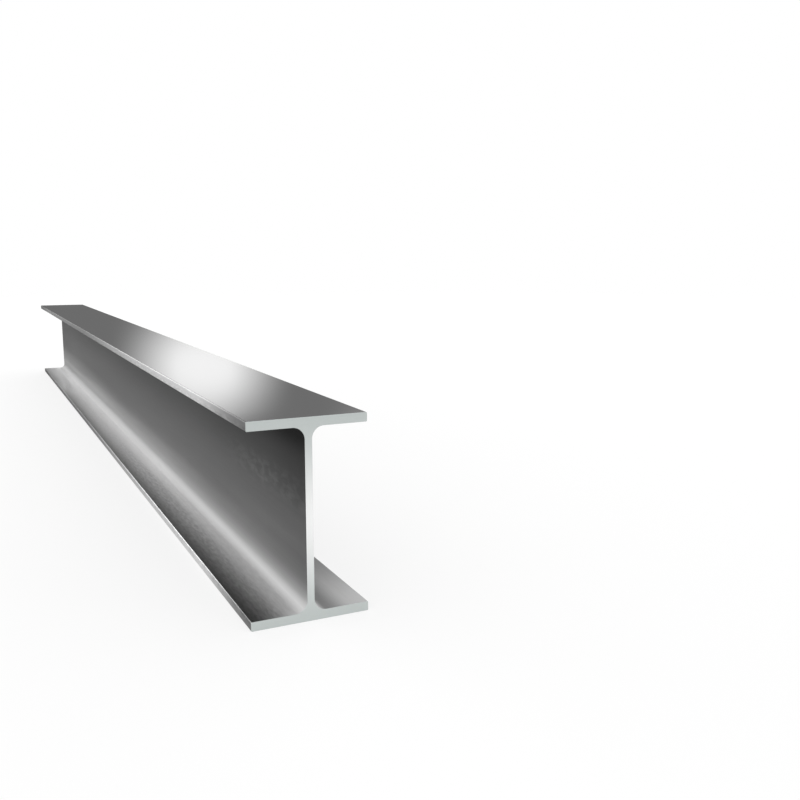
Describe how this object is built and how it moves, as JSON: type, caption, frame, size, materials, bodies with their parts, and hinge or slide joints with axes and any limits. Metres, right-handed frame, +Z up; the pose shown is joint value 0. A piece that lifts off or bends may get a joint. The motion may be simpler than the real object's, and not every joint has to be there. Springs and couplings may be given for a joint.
{
  "type": "stainless steel h-beam",
  "caption": "Rolled stainless steel H-section beam with parallel flanges, filleted web roots and square sawn ends, for structural framing.",
  "frame": {"origin": "middle of the underside of the bottom flange, on the level surface the beam stands on", "axes": "+X along the length, +Y across the flanges, +Z up through the depth"},
  "size_m": [1.6, 0.09, 0.15],
  "materials": {
    "stainless_steel": "rolled and pickled satin grey on the flanges and web, paler and duller on the sawn ends"
  },
  "bodies": {
    "root": {"h_beam": "stainless_steel"}
  },
  "joints": []
}
